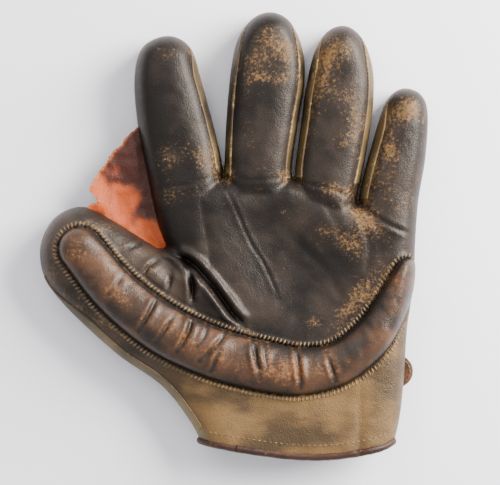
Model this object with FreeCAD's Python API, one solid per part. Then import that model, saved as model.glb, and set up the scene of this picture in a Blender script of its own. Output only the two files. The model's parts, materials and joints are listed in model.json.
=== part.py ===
"""A fielder's baseball glove of the early, separate-finger kind, for the left hand.

It lies on its back with the palm up. Millimetres: +X to the little-finger side, +Y to the
fingertips, +Z out of the palm. The origin is the middle of the object's box, at its lowest plane.
The leather case, its felt padding, the lining round the hand, the crescent heel roll, the web, the
wrist strap and its press stud are separate solids. The fingers, the thumb and the strap are separate
bodies: each is cut from the palm by a wedge-shaped gap along its line of bending.
"""
import FreeCAD, Part
import math
import os

from FreeCAD import Vector

# ---- driving dimensions, mm ----
LEATHER = 2.0            # case leather
LINING = 1.0             # glove leather round the hand
CASE_TOP = 27.0          # height of the stuffed case, palm up
TOP_ROUND = 9.0          # rounding of the case's upper edges
BACK_ROUND = 4.0         # rounding of its lower edges
FRONT_SEAM = 24.0        # height of the seam between a finger's front and its gussets
BACK_SEAM = 5.0          # height of the seam between the gussets and the back
SIDE_SEAM = 14.0         # front and back leather meet here round the palm
WELT = 1.2               # thickness of the welt caught in a seam
WELT_SHOW = 1.3          # how far the welt stands out of the seam
WELT_DEEP = 4.5          # where the welt ends inside, measured from the outline
HAND_FLOOR = 3.0         # the hand's space, lowest and highest, in fingers and palm
HAND_ROOF = 15.0
WRIST_LIFT = 10.0        # the back is this far off the ground at the wrist, over the strap
WRIST_ROOF = 24.0        # the hand's space reaches this high at the wrist

POCKET = Vector(28, -8, 0)   # middle of the dished pocket
POCKET_RIM = 40.0
POCKET_DEPTH = 7.0

ROLL_R = 12.5            # crescent roll along thumb and heel, half sunk in the case
ROW_OFFSET = 14.0        # its stitch rows lie this far from its line
STITCH_PITCH = 3.4
STITCH_LONG = 2.2
STITCH_R = 0.45

BEND_GAP = 0.4           # half the clearance on a line of bending
FLEX_UP = 45.0           # degrees a finger or the thumb bends towards the palm
FLEX_BACK = 6.0          # degrees it bends the other way
FINGER_AXIS = 8.0        # height of a finger's line of bending
THUMB_AXIS = 6.0
SIDE_SPACE = {"thumb": 9.0}   # clearance beside a bending piece, where it isn't the plain one
PLAIN_SPACE = 0.5

WEB_THICK = 2.0
WEB_LEVEL = 10.0

BINDING_DEEP = 4.4       # bound edge round the wrist
BACK_END = -100.0        # the back leather ends here, short of the heel

STRAP_WIDTH = 19.0
STRAP_THICK = 2.6
STRAP_LEVEL = 4.6        # its lower face
STRAP_Y = -74.0
STRAP_TIP = 99.6
STRAP_HINGE = 14.0
STRAP_TAIL = -6.0
SLOT_MIDDLE = 41.0       # the slot in the back that the strap closes
SLOT_WIDTH = 42.0
SLOT_END = -50.0

STUD_X = 77.0            # press stud
CAP_R = 7.0
CAP_THICK = 1.6
SOCKET_R = 5.5
SOCKET_BORE = 2.3
STUD_R = 2.1
PLATE_R = 5.0
PLATE_THICK = 0.8

# ---- outlines, clockwise, so the inside is on the right of the way along ----
FINGERS = {
    "index": [(-31, -13), (-39.5, 1), (-47, 33), (-52.5, 62), (-54.2, 88), (-49.5, 104.5),
              (-35.5, 110.5), (-23.5, 104), (-17.5, 86), (-10.5, 60), (-5.9, 38), (-5.6, 14)],
    "middle": [(-4.6, 14), (-4.7, 40), (-3, 75), (1, 104), (9, 118.5), (20.5, 123.5),
               (31.5, 118), (38.4, 102), (39, 84), (35.2, 60), (32.2, 38), (32, 14)],
    "ring": [(33.8, 14), (34.2, 38), (37.2, 60), (40.6, 84), (45.2, 103), (53, 113.8), (63, 115.6),
             (71.5, 108), (76.6, 93), (77.2, 76), (74.8, 56), (70.6, 33), (67.6, 19), (66, 4)],
    "little": [(67, 2), (69.4, 20), (72.2, 34), (77.2, 53), (83, 72), (88, 79.2), (95, 81.7),
               (103.1, 78.2), (106.9, 68), (105.7, 44), (101.8, 20), (100, -4), (99.2, -26),
               (95.6, -50), (93.6, -80), (90.5, -104), (83, -130)],
}
OUTLINES = {
    **FINGERS,
    "thumb": [(-12, -128), (-16, -116), (-24.5, -100), (-40, -81), (-66, -62.5), (-98.5, -30.5),
              (-106.2, -9), (-99.5, 9), (-85, 16.6), (-70.5, 12), (-49, -1.5), (-34.3, -10.6),
              (-28, -16)],
}
# where an outline is closed, inside the palm
ROOT_CORNERS = {"little": [(52, -130), (52, 2)], "thumb": [(-14, -18), (0, -128)]}
CORE = [(-46, -13), (-22, -9), (-32, 33), (32, 33), (68, 18.5), (90, 14), (84, -60), (76, -130),
        (-10, -130)]
THUMB_HALL = [(-18, -84), (-32, -76), (-44, -52), (-62, -36), (-82, -20), (-92, -8), (-90, 4),
              (-78, 6), (-55, -6), (-30, -16), (-18, -20)]
ROLL_LINE = [(-86, -5), (-66, -27), (-38, -49.5), (2, -66), (38, -71), (68, -59), (84, -32)]
OUTER_ROW = [(-72, -41.2), (-40.5, -63.6), (9, -81.2), (48.5, -83.6), (79.5, -65.8), (97, -32)]
WEB = [(-50, 60), (-59, 55), (-74.5, 33), (-78, 25), (-77, 20.5), (-74, 19.5), (-81, 17.4),
       (-70, 12.6), (-49, -0.9), (-36.5, -8.6), (-40, 1), (-47, 33)]
WRIST = [(-26, -109.8), (-18.8, -111.3), (9.3, -116), (35, -119.1), (57, -118.8), (79, -115),
         (90, -110.5)]

# lines of bending: two ends, left and right of the piece that bends, and the height
FLEX_LINES = {
    "index": ((-54, 62), (-5.3, 37.5), FINGER_AXIS),
    "middle": ((-5.2, 37.5), (33, 35.2), FINGER_AXIS),
    "ring": ((33, 36), (72, 32.2), FINGER_AXIS),
    "little": ((69.6, 24), (102, 19.5), FINGER_AXIS),
    "thumb": ((-18.8, -111.3), (-34.3, -9.8), THUMB_AXIS),
}
CENTRE = Vector(0.56, -0.11, 0)   # middle of the whole box, in the coordinates used above
FAR = 300.0              # longer than the whole object
HIGH = 60.0              # above everything


def inset_points(points, inset):
    """Points moved to the right of the way along them, by inset."""
    moved = []
    last = len(points) - 1
    for i, (x, y) in enumerate(points):
        x0, y0 = points[max(i - 1, 0)]
        x1, y1 = points[min(i + 1, last)]
        run = math.hypot(x1 - x0, y1 - y0)
        moved.append(Vector(x + inset * (y1 - y0) / run, y - inset * (x1 - x0) / run, 0))
    return moved


def open_curve(points, inset=0.0):
    """One smooth edge through points, moved inwards by inset."""
    curve = Part.BSplineCurve()
    curve.interpolate(inset_points(points, inset))
    return curve.toShape()


def face_of(edge, *corners):
    """A flat face inside one open edge, closed by straight lines through corners."""
    ends = [edge.valueAt(edge.FirstParameter), edge.valueAt(edge.LastParameter)]
    stops = [ends[1], *corners, ends[0]]
    lines = [Part.LineSegment(a, b).toShape() for a, b in zip(stops, stops[1:])]
    return Part.Face(Part.Wire([edge, *lines]))


def block(face, low, high):
    """The face, at height 0, made solid between two heights."""
    raised = face.copy()
    raised.translate(Vector(0, 0, low))
    return raised.extrude(Vector(0, 0, high - low))


def rounded_block(face, low, high, top_round, low_round):
    """A block over a face, with its longest edge's upper and lower corners rounded."""
    solid = block(face, low, high)
    length = max(e.Length for e in face.Edges)
    for level, radius in ((high, top_round), (low, low_round)):
        if radius <= 0:
            continue
        rim = [e for e in solid.Edges
               if abs(e.Length - length) < 0.01 * length
               and abs(e.BoundBox.ZMin - level) < 0.01 and abs(e.BoundBox.ZMax - level) < 0.01]
        solid = solid.makeFillet(radius, rim)
    return solid


def polygon(points):
    """A flat face with straight sides."""
    corners = [Vector(x, y, 0) for x, y in points]
    return Part.Face(Part.makePolygon([*corners, corners[0]]))


def side_profile(points, low_x=-FAR, high_x=FAR):
    """A solid with a constant section, given as (y, z) points, right across the object."""
    corners = [Vector(low_x, y, z) for y, z in points]
    return Part.Face(Part.makePolygon([*corners, corners[0]])).extrude(Vector(high_x - low_x, 0, 0))


def joined(solids):
    """All the solids as one."""
    first, *others = solids
    return first.fuse(others).removeSplitter()


def bend_profile(side):
    """(u, height above the axis) of the space on one side of a line of bending.
    side 1 is what bends, side -1 is what stays, and the gap between them lets it bend."""
    up = HIGH * math.tan(math.radians(FLEX_UP / 2 + 0.5))
    down = HIGH * math.tan(math.radians(FLEX_BACK / 2 + 0.5))
    return [(side * (BEND_GAP + up), HIGH), (side * BEND_GAP, 0), (side * (BEND_GAP + down), -HIGH),
            (side * FAR, -HIGH), (side * FAR, HIGH)]


def bend_space(name, side, overrun=FAR):
    """That space as a solid, along the named line, reaching overrun past both its ends."""
    (x0, y0), (x1, y1), level = FLEX_LINES[name]
    start, end = Vector(x0, y0, level), Vector(x1, y1, level)
    along = (end - start).normalize()
    ahead = Vector(-along.y, along.x, 0)
    first = start - along * overrun
    corners = [first + ahead * u + Vector(0, 0, h) for u, h in bend_profile(side)]
    wedge = Part.Face(Part.makePolygon([*corners, corners[0]]))
    return wedge.extrude(along * ((end - start).Length + 2 * overrun))


def moving(shape, name):
    """What of shape rides on the finger, or on the thumb."""
    return shape.common(bend_space(name, 1))


def fixed(shape):
    """What of shape stays with the palm: each bending piece and its gap is cut away."""
    for name in OUTLINES:
        space = SIDE_SPACE.get(name, PLAIN_SPACE)
        lane = block(plan(name, -space), -HIGH, HIGH)
        reach = lane.cut(bend_space(name, -1))
        shape = shape.cut(reach)
    return shape


def below_wrist(drop=0.0):
    """Everything past the wrist's edge."""
    edge = open_curve(WRIST, drop)
    return block(face_of(edge, Vector(FAR, -110.5, 0), Vector(FAR, -FAR, 0), Vector(-FAR, -FAR, 0),
                         Vector(-FAR, -109.8, 0)), -HIGH, HIGH)


def wrist_wedge(rise=0.0):
    """The space under the back at the wrist, that leaves room for the strap."""
    start, top = -38.0 + rise, -56.0 + rise
    return side_profile([(start, -HIGH), (start, rise), (top, WRIST_LIFT + rise),
                         (-FAR, WRIST_LIFT + rise), (-FAR, -HIGH)])


def pocket_ball(extra=0.0):
    """The ball that dishes the pocket. extra keeps the leather's thickness under it."""
    radius = (POCKET_RIM ** 2 + POCKET_DEPTH ** 2) / (2 * POCKET_DEPTH)
    middle = POCKET + Vector(0, 0, CASE_TOP - POCKET_DEPTH + radius)
    return Part.makeSphere(radius + extra, middle)


def plan(name, inset=0.0):
    """The flat face inside the outline of a finger or the thumb."""
    corners = [Vector(x, y, 0) for x, y in ROOT_CORNERS.get(name, [])]
    return face_of(open_curve(OUTLINES[name], inset), *corners)


def stall(name, inset=0.0, low=0.0, high=CASE_TOP):
    """A finger's, or the thumb's, stuffed shape, made smaller all round by inset."""
    return rounded_block(plan(name, inset), low, high,
                         TOP_ROUND - inset, max(BACK_ROUND - inset, 0.5))


def case(inset=0.0):
    """Palm and fingers in one, made smaller all round by inset."""
    core = block(polygon(CORE), inset, CASE_TOP - inset)
    stalls = [stall(name, inset, inset, CASE_TOP - inset) for name in FINGERS]
    whole = joined([core, *stalls])
    return whole.cut(pocket_ball(inset)).cut(wrist_wedge(inset))


def hand_space(skin):
    """The space round the hand in palm and wrist, made larger by skin, as a side profile."""
    floor, roof = HAND_FLOOR - skin, HAND_ROOF + skin
    wrist_floor, wrist_roof = WRIST_LIFT + HAND_FLOOR - skin, WRIST_ROOF + skin
    return side_profile([(FAR, floor), (-37, floor), (-55, wrist_floor), (-FAR, wrist_floor),
                         (-FAR, wrist_roof), (-60, wrist_roof), (-36, roof), (FAR, roof)])


def slab(low, high):
    """Everything between two heights."""
    return Part.makeBox(2 * FAR, 2 * FAR, high - low, Vector(-FAR, -FAR, low))


def finger_parts(name):
    """The separate pieces of one finger."""
    outer = moving(stall(name), name)
    inner = moving(stall(name, LEATHER, LEATHER, CASE_TOP - LEATHER), name)
    hall_skin = moving(stall(name, LEATHER, LEATHER, HAND_ROOF + LINING), name).common(inner)
    hall = moving(stall(name, LEATHER + LINING, HAND_FLOOR, HAND_ROOF), name)
    shell = outer.cut(inner)
    half_welt = WELT / 2
    tip = max(y for _, y in FINGERS[name]) - TOP_ROUND
    walls = shell.common(slab(BACK_SEAM, FRONT_SEAM - half_welt))
    across = Part.makeBox(2 * FAR, FAR, HIGH, Vector(-FAR, tip, 0))
    welt_ring = block(plan(name, WELT), FRONT_SEAM - half_welt, FRONT_SEAM + half_welt)
    welt_hole = block(plan(name, WELT_DEEP), 0, HIGH)
    return {
        "front": shell.common(slab(FRONT_SEAM + half_welt, HIGH)),
        "back": shell.common(slab(0, BACK_SEAM)),
        "gussets": Part.makeCompound([*walls.cut(across).Solids, *walls.common(across).Solids]),
        "welt": moving(welt_ring.cut(welt_hole), name),
        "pad": inner.common(slab(HAND_ROOF + LINING, HIGH)),
        "lining": hall_skin.cut(hall),
    }


def thumb_parts():
    """The separate pieces of the thumb. Its stuffing fills all that the hand leaves."""
    wrist = below_wrist()
    outer = moving(stall("thumb").cut(wrist_wedge()).cut(wrist), "thumb")
    inner = moving(stall("thumb", LEATHER, LEATHER, CASE_TOP - LEATHER)
                   .cut(wrist_wedge(LEATHER)).cut(below_wrist(-LEATHER)), "thumb")
    skin_edge, hall_edge = open_curve(THUMB_HALL), open_curve(THUMB_HALL, LINING)
    hall_skin = block(face_of(skin_edge), LEATHER, HAND_ROOF + LINING)
    hall = block(face_of(hall_edge), HAND_FLOOR, HAND_ROOF)
    hall_skin = moving(hall_skin, "thumb").common(inner)
    hall = moving(hall, "thumb")
    shell = outer.cut(inner)
    half_welt = WELT / 2
    ring = block(plan("thumb"), SIDE_SEAM - half_welt, SIDE_SEAM + half_welt)
    hole = block(plan("thumb", LEATHER), 0, HIGH)
    return {
        "front": shell.common(slab(SIDE_SEAM + half_welt, HIGH)),
        "back": shell.common(slab(0, SIDE_SEAM - half_welt)),
        "welt": moving(ring.cut(hole).cut(wrist), "thumb"),
        "pad": inner.cut(hall_skin),
        "lining": hall_skin.cut(hall),
    }


def back_slot():
    """The slot in the back of the wrist, open at the wrist's end."""
    half = SLOT_WIDTH / 2
    straight = Part.makeBox(SLOT_WIDTH, FAR, HIGH, Vector(SLOT_MIDDLE - half, SLOT_END - half - FAR, -HIGH / 2))
    end = Part.makeCylinder(half, HIGH, Vector(SLOT_MIDDLE, SLOT_END - half, -HIGH / 2))
    return straight.fuse(end)


def palm_parts():
    """The separate pieces of palm, heel and back of the hand."""
    wrist = below_wrist()
    outer, inner = case(), case(LEATHER)
    shell = fixed(outer.cut(inner).cut(wrist))
    front = shell.common(slab(SIDE_SEAM, HIGH))
    heel = below_row()
    back = shell.common(slab(0, SIDE_SEAM)).cut(back_slot())
    short = Part.makeBox(2 * FAR, FAR, HIGH, Vector(-FAR, BACK_END - FAR, 0))
    skin = fixed(inner.common(hand_space(LINING)).cut(wrist))
    hall = case(LEATHER + LINING).common(hand_space(0))
    lining = skin.cut(hall).cut(back_slot())
    return {
        "palm_front": biggest(front.cut(heel)),
        "heel_panel": biggest(front.common(heel)),
        "hand_back": biggest(back.cut(short)),
        "palm_pad": fixed(inner.cut(hand_space(LINING)).common(slab(HAND_ROOF, HIGH)).cut(wrist)),
        "palm_lining": biggest(lining.common(slab(HAND_FLOOR + LINING, HIGH))),
        "back_lining": biggest(lining.common(slab(0, HAND_FLOOR + LINING))),
    }


def below_row():
    """Everything on the wrist's side of the outer row of stitches."""
    edge = open_curve([*OUTER_ROW, (110, -10)])
    return block(face_of(edge, Vector(FAR, -10, 0), Vector(FAR, -FAR, 0), Vector(-FAR, -FAR, 0),
                         Vector(-FAR, -18.5, 0)), -HIGH, HIGH)


def sausage(radius):
    """A round-ended roll along the crescent's line, its middle level with the case's top."""
    edge = open_curve(ROLL_LINE)
    edge.translate(Vector(0, 0, CASE_TOP))
    first, last = edge.valueAt(edge.FirstParameter), edge.valueAt(edge.LastParameter)
    ring = Part.Circle(first, edge.tangentAt(edge.FirstParameter), radius).toShape()
    tube = Part.Wire([edge]).makePipeShell([Part.Wire([ring])], True, False)
    return joined([tube, Part.makeSphere(radius, first), Part.makeSphere(radius, last)])


def roll_parts():
    """The crescent roll: a leather cover over a felt roll, in three lengths."""
    ground = joined([case(), stall("thumb").cut(wrist_wedge())])
    cover, felt = sausage(ROLL_R), sausage(ROLL_R - LEATHER)
    cover, felt = cover.cut(ground), felt.cut(ground)
    cover = cover.cut(felt)
    reach, stay = bend_space("thumb", 1), bend_space("thumb", -1)
    named = {}
    for label, shape in (("cover", cover), ("felt", felt)):
        named["thumb_roll_" + label] = biggest(shape.common(reach))
        named["heel_roll_" + label] = biggest(shape.common(stay))
        named["bend_roll_" + label] = biggest(shape.cut(reach).cut(stay))
    return named


def biggest(shape):
    """The largest solid of a shape that a cut may have left in pieces."""
    return max(shape.Solids, key=lambda s: s.Volume)


def stitch_row(points, offset, level):
    """Stitches lying along a row beside points, as separate solids."""
    edge = open_curve(points, offset)
    count = int(edge.Length / STITCH_PITCH)
    made = []
    for i in range(count):
        at = edge.getParameterByLength((i + 0.5) * edge.Length / count)
        middle, along = edge.valueAt(at), edge.tangentAt(at)
        start = middle - along * (STITCH_LONG / 2) + Vector(0, 0, level + STITCH_R)
        made.append(Part.makeCylinder(STITCH_R, STITCH_LONG, start, along))
    return made


def stitches():
    """Both rows beside the roll, shared out between the thumb and the heel."""
    rows = stitch_row(ROLL_LINE, ROW_OFFSET, CASE_TOP) + stitch_row(ROLL_LINE, -ROW_OFFSET, CASE_TOP)
    sides = {"thumb_roll_stitches": bend_space("thumb", 1), "heel_roll_stitches": bend_space("thumb", -1)}
    named = {}
    for label, space in sides.items():
        inside = [s for s in rows if abs(s.common(space).Volume - s.Volume) < 1e-3]
        named[label] = Part.makeCompound(inside)
    return named


def crease(name):
    """The palm-side leather over a finger's gap, that folds when the finger bends."""
    skin = stall(name).cut(stall(name, LEATHER, LEATHER, CASE_TOP - LEATHER))
    top = skin.common(slab(FRONT_SEAM + WELT / 2, HIGH))
    return biggest(top.cut(bend_space(name, 1)).cut(bend_space(name, -1)))


def web_panel():
    """The thin leather between thumb and first finger."""
    sheet = block(polygon(WEB), WEB_LEVEL, WEB_LEVEL + WEB_THICK)
    return biggest(sheet.cut(stall("index")).cut(stall("thumb")))


def bindings():
    """The bound edges: the heel's, and the two wings of the back."""
    drop = block(face_of(open_curve(WRIST, BINDING_DEEP), Vector(FAR, -FAR, 0), Vector(-FAR, -FAR, 0)),
                 -HIGH, HIGH)
    heel = below_wrist().cut(drop).common(slab(CASE_TOP - 3.5, CASE_TOP + 0.5))
    heel = heel.common(Part.makeBox(107, 60, HIGH, Vector(-18.4, -130, 0)))
    lip = case().cut(case(LEATHER)).common(slab(0, SIDE_SEAM))
    strip = Part.makeBox(2 * FAR, BINDING_DEEP, HIGH, Vector(-FAR, BACK_END - BINDING_DEEP, 0))
    back = fixed(lip.common(strip)).cut(back_slot())
    return {"heel_binding": biggest(heel), "back_binding": back}


def disc(radius, low, high, bore=0.0):
    """A round plate round the press stud's axis."""
    middle = Vector(STUD_X, STRAP_Y, low)
    plate = Part.makeCylinder(radius, high - low, middle)
    return plate.cut(Part.makeCylinder(bore, high - low, middle)) if bore else plate


def strap_parts():
    """The wrist strap, its sewn tail, and the press stud's pieces."""
    half = STRAP_WIDTH / 2
    top = STRAP_LEVEL + STRAP_THICK
    round_end = Part.makeCylinder(half, STRAP_THICK, Vector(STRAP_TIP - half, STRAP_Y, STRAP_LEVEL))
    run = Part.makeBox(STRAP_TIP - half - STRAP_HINGE - BEND_GAP, STRAP_WIDTH, STRAP_THICK,
                       Vector(STRAP_HINGE + BEND_GAP, STRAP_Y - half, STRAP_LEVEL))
    strap = run.fuse(round_end).removeSplitter().cut(disc(STUD_R + 0.6, 0, HIGH))
    tail = Part.makeBox(STRAP_HINGE - BEND_GAP - STRAP_TAIL, STRAP_WIDTH, WRIST_LIFT - STRAP_LEVEL,
                        Vector(STRAP_TAIL, STRAP_Y - half, STRAP_LEVEL))
    cap = disc(CAP_R, STRAP_LEVEL - CAP_THICK, STRAP_LEVEL)
    rim = [e for e in cap.Edges if e.BoundBox.ZMax < STRAP_LEVEL - CAP_THICK + 0.01]
    cap = cap.makeFillet(CAP_THICK * 0.6, rim)
    stem = disc(STUD_R + 0.6, STRAP_LEVEL, top)
    socket = disc(SOCKET_R, top, WRIST_LIFT - PLATE_THICK, SOCKET_BORE)
    plate = disc(PLATE_R, WRIST_LIFT - PLATE_THICK, WRIST_LIFT)
    stud = plate.fuse(disc(STUD_R, top + 0.2, WRIST_LIFT - PLATE_THICK)).removeSplitter()
    washer = disc(PLATE_R, WRIST_LIFT + HAND_FLOOR, WRIST_LIFT + HAND_FLOOR + PLATE_THICK)
    return {
        "wrist_strap": strap,
        "strap_tail": tail,
        "snap_cap": cap.fuse(stem).removeSplitter(),
        "snap_socket": socket,
        "snap_stud": stud,
        "snap_washer": washer,
    }


def build():
    """Every node's shape, by name, about the object's own origin."""
    made = {}
    made.update(palm_parts())
    for name in FINGERS:
        for label, shape in finger_parts(name).items():
            made[name + "_" + label] = shape
        made[name + "_crease"] = crease(name)
    for label, shape in thumb_parts().items():
        made["thumb_" + label] = shape
    made.update(roll_parts())
    made.update(stitches())
    made.update(bindings())
    made.update(strap_parts())
    made["web"] = web_panel()
    return made


def main():
    os.makedirs("parts", exist_ok=True)
    for name, shape in build().items():
        solids = [s.translated(-CENTRE) for s in shape.Solids if s.Volume > 0.05]
        kept = solids[0] if len(solids) == 1 else Part.makeCompound(solids)
        box = kept.BoundBox
        print(f"{name:22s} solids {len(solids):3d} valid {kept.isValid()} volume {kept.Volume / 1000:8.2f} cm3"
              f"  x {box.XMin:7.1f} {box.XMax:7.1f}  y {box.YMin:7.1f} {box.YMax:7.1f}"
              f"  z {box.ZMin:5.1f} {box.ZMax:5.1f}")
        kept.exportStep(f"parts/{name}.step")


if __name__ == "__main__":
    main()
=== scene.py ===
"""Visual model of the old fielder's glove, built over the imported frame.

The glove's leather case, its felt and its lining are three nested soft forms. Each is described by
fields over the plan (distance to the outline, height of the palm side, height of the back), turned
into one smooth surface, and then parted along its seams into the real pieces of leather.
Lengths here are millimetres in the row frame, and become metres when a piece is made.
"""
import bpy
import json
import math
import numpy as np
import openvdb
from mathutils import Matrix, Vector


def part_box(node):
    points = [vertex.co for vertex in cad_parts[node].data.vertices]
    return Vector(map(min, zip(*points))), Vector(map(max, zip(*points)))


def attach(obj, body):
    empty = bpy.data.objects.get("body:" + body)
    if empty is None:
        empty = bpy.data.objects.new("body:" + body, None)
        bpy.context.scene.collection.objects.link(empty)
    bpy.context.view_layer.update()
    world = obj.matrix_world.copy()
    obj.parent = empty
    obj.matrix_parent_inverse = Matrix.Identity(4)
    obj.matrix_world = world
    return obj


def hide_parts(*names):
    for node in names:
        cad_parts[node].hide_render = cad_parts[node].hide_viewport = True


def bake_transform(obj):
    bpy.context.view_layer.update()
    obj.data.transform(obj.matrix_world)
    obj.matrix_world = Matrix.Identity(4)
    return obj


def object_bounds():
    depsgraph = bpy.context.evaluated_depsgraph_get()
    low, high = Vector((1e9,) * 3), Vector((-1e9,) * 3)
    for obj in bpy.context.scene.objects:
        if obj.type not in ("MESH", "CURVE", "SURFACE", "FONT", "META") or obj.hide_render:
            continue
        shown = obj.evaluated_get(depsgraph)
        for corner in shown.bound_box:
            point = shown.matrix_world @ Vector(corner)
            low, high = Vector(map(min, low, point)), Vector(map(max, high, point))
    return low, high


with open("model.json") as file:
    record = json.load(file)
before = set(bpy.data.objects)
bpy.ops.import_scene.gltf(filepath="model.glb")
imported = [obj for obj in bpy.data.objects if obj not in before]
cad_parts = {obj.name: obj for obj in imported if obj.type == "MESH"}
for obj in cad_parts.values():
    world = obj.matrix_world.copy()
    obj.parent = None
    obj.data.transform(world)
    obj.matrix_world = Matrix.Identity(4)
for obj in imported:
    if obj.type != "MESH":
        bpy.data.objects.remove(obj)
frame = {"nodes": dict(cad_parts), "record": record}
CAD_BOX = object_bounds()

MM = 0.001
CELL = 0.8       # spacing of the surface's points
SHIFT = np.array([-0.56, 0.11])         # from the pattern's own centre to the row frame's origin

# ---- outlines over the plan, clockwise ----
FINGERS = {
    "index": [(-31, -13), (-39.5, 1), (-47, 33), (-52.5, 62), (-54.2, 88), (-49.5, 104.5),
              (-35.5, 110.5), (-23.5, 104), (-17.5, 86), (-10.5, 60), (-5.9, 38), (-5.6, 14)],
    "middle": [(-4.6, 14), (-4.7, 40), (-3, 75), (1, 104), (9, 118.5), (20.5, 123.5),
               (31.5, 118), (38.4, 102), (39, 84), (35.2, 60), (32.2, 38), (32, 14)],
    "ring": [(33.8, 14), (34.2, 38), (37.2, 60), (40.6, 84), (45.2, 103), (53, 113.8), (63, 115.6),
             (71.5, 108), (76.6, 93), (77.2, 76), (74.8, 56), (70.6, 33), (67.6, 19), (66, 4)],
    "little": [(67, 2), (69.4, 20), (72.2, 34), (77.2, 53), (83, 72), (88, 79.2), (95, 81.7),
               (103.1, 78.2), (106.9, 68), (105.7, 44), (101.8, 20), (100, -4), (99.2, -26),
               (95.6, -50), (93.6, -80), (90.5, -104), (83, -130)],
}
# where an open outline closes, inside the palm
ROOTS = {"little": [(60, -130), (52, 2)], "thumb": [(25, -16), (25, -128)],
         "index": [(0, -30), (-24, -30)]}
THUMB = [(-12, -128), (-16, -116), (-24.5, -100), (-40, -81), (-66, -62.5), (-98.5, -30.5),
         (-106.2, -9), (-99.5, 9), (-85, 16.6), (-70.5, 12), (-49, -1.5), (-34.3, -10.6),
         (-28, -16)]
CORE = [(-46, -13), (-22, -9), (-32, 33), (32, 33), (68, 18.5), (90, 14), (84, -60), (76, -130),
        (-10, -130)]
# leather that fills the crotch of the thumb
CROTCH_FILL = [(-43, -10), (-35.5, -5), (-26, 2), (-18, -12), (-30, -22)]
THUMB_HALL = [(-18, -84), (-32, -76), (-44, -52), (-62, -36), (-82, -20), (-92, -8), (-90, 4),
              (-78, 6), (-55, -6), (-30, -16), (-18, -20)]
ROLL_LINE = [(-83, -6.5), (-64, -29.5), (-38, -50), (-9, -63.5), (20, -71), (38, -73), (58, -68.5),
             (76, -54), (88, -34), (95, -19)]
# half the roll's width at each point of its line
ROLL_HALF = [12.0, 12.8, 13.8, 14.0, 13.8, 13.0, 11.8, 11.0, 9.4, 7.4]
WRIST = [(-40, -103), (-26, -109.8), (-18.8, -111.3), (9.3, -116), (35, -119.1), (57, -118.8),
         (79, -115), (90, -110.5), (110, -102)]
WEB = [(-50, 62), (-56, 58), (-66, 46), (-77.5, 29), (-79, 25), (-75.5, 21.5), (-72, 19.8),
       (-79.5, 17.2), (-80.5, 14), (-68, 9), (-49, -5), (-34, -13), (-33, -2), (-41, 30)]

# the slot in the back of the wrist: its middle, half its width, and where its round end starts
SLOT_MIDDLE = 41.0 + SHIFT[0]
SLOT_HALF = 21.0
SLOT_TOP = -71.0 + SHIFT[1]
# fingers that meet, and how far up the plan their crotch is
CROTCHES = (("index", "middle", 36), ("middle", "ring", 36), ("ring", "little", 20))

# ---- heights ----
CASE_TOP = 27.0
EDGE_TOP = 21.5          # top of the case just inside its rounded edge
TOP_ROUND = 8.5
BACK_ROUND = 5.0
SIDE_SEAM = 14.0
BACK_SEAM = 5.0
LEATHER = 1.7
LINING = 1.0
CROWN = 17.0             # from the edge in to where the palm side is at its full height
POCKET = (28, -8, 34, 5.5)      # the palm's hollow: middle, reach, depth
VALLEY_DEEP = 3.0        # at the crotch between two fingers
TIP_INSET = 0.8          # a seam lies this far inside the outline at a tip
SEAM_INSET = 3.4         # and this far along a finger's sides, seen from above
GUSSET_END = 8.0         # a gusset ends this far short of the finger's tip
ROLL_HIGH = 8.6
ROW_WIDTH = 2.6          # of the sewn band round the roll
ROW_HIGH = 0.55
ROW_GROOVE = 1.5         # depth of the groove between the roll and the band
WEB_THICK = 1.5
WRIST_LIFT = 10.0        # of the back, towards the wrist
BACK_END = -100.0
FINGER_BEND = 30.0       # length of finger that bends
BEND_LEAD = 3.0          # the bend starts this far behind the hinge
THUMB_BEND = 44.0
THUMB_WAY = np.array([-0.954, -0.3])

# creases of the palm side, first those round the thumb: points, depth, half width
CREASES = [
    ([(-33, -9), (-22, -15), (-9.5, -29), (0, -42), (7, -48.5)], 3.4, 1.7),
    ([(-27, -13.5), (-23.5, -19), (-22, -27), (-22.5, -38)], 1.7, 1.3),
    ([(-39, -11.5), (-46, -16.5), (-51, -24)], 1.2, 1.1),
    ([(-33, -18), (-34.5, -25), (-36, -32)], 0.9, 1.0),
    ([(-50.5, -4.5), (-56, -6), (-62, -8)], 0.7, 1.0),
    ([(-5, 29), (2, 14), (9.5, -3), (17.5, -16), (25, -33)], 0.26, 0.8),
    ([(-45, 24), (-34, 27), (-22, 29), (-8, 34.5)], 0.2, 1.0),
    ([(-3.5, 34), (8, 31), (20, 31.5), (31, 33.5)], 0.15, 1.0),
    ([(33, 33), (42, 28.5), (54, 25.5), (65, 21)], 0.35, 1.0),
    ([(68, 20), (76, 12), (88, 5), (99, 1)], 0.4, 1.1),
    ([(25, 8), (40, -8), (52, -20), (60, -36)], 0.25, 2.0),
    ([(70, 10), (74, -6), (72, -22)], 0.35, 1.6),
    ([(48, 22), (56, 8), (60, -6)], 0.25, 1.8),
]
# folds across the roll
ROLL_FOLDS = [
    ([(-40, -31), (-45, -41), (-51, -51)], 1.3, 1.1),
    ([(-31, -42), (-36, -49), (-42, -58)], 1.1, 1.0),
    ([(-21.5, -41), (-24, -51), (-30, -62)], 1.9, 1.2),
    ([(-3, -51), (-9.5, -59), (-18, -67)], 1.9, 1.2),
    ([(-6, -60), (-9, -66), (-12, -73)], 1.3, 1.0),
    ([(11, -55), (12.5, -65), (15, -76)], 1.6, 1.2),
    ([(17, -58), (17.5, -66), (19, -72)], 0.8, 1.0),
    ([(34, -60), (35.5, -70), (37, -82)], 1.8, 1.1),
    ([(51, -63), (53, -70), (56, -78)], 1.1, 1.1),
    ([(-58, -19), (-62, -25), (-67, -31)], 0.7, 1.2),
    ([(-13, -47), (-15, -53), (-19, -59)], 0.8, 1.0),
]
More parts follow.
